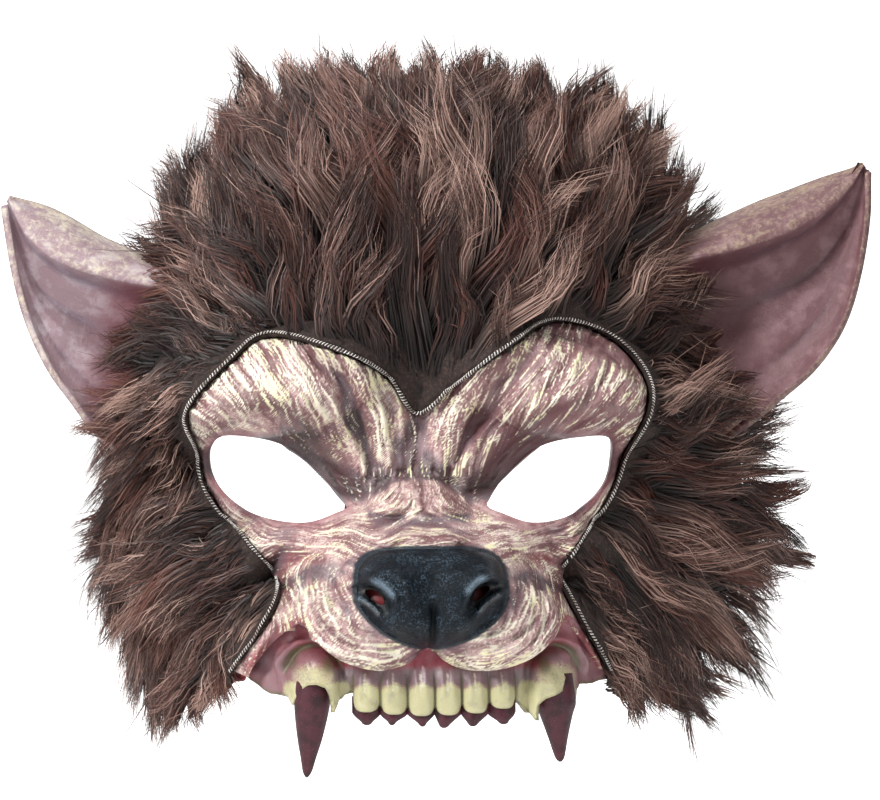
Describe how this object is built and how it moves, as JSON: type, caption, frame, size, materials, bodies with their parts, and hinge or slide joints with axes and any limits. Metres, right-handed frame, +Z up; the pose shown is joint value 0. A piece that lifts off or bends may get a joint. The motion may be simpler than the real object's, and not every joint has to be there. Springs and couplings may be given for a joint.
{
  "type": "werewolf half mask",
  "caption": "Snarling werewolf half mask of painted latex with open eyes, a dark nose, an upper jaw with long fangs, upright ears and a shaggy brown fur hood.",
  "frame": {"origin": "inner face of the nose bridge, midway between the eye openings, where the mask sits on its wearer's nose bridge", "axes": "+Z up as worn, the face looks along -Y, +X on the right of someone who looks at the face"},
  "size_m": [0.2469, 0.1341, 0.2062],
  "materials": {
    "face_skin": "mauve pink latex with cream dry brushed strokes",
    "nose_paint": "glossy blue black paint",
    "gum_paint": "cream crowns fading to mauve gums, semi gloss",
    "fang_paint": "dark maroon, semi gloss",
    "ear_skin": "dusty pink latex, cream mottled upper bands",
    "fur_pile": "long dark brown acrylic pile on a knitted backing"
  },
  "bodies": {
    "root": {"face_shell": "face_skin", "nose": "nose_paint", "upper_jaw": "gum_paint", "incisor_points": "fang_paint", "fang_left": "fang_paint", "fang_right": "fang_paint", "ear_left": "ear_skin", "ear_right": "ear_skin", "fur_hood": "fur_pile"}
  },
  "joints": []
}
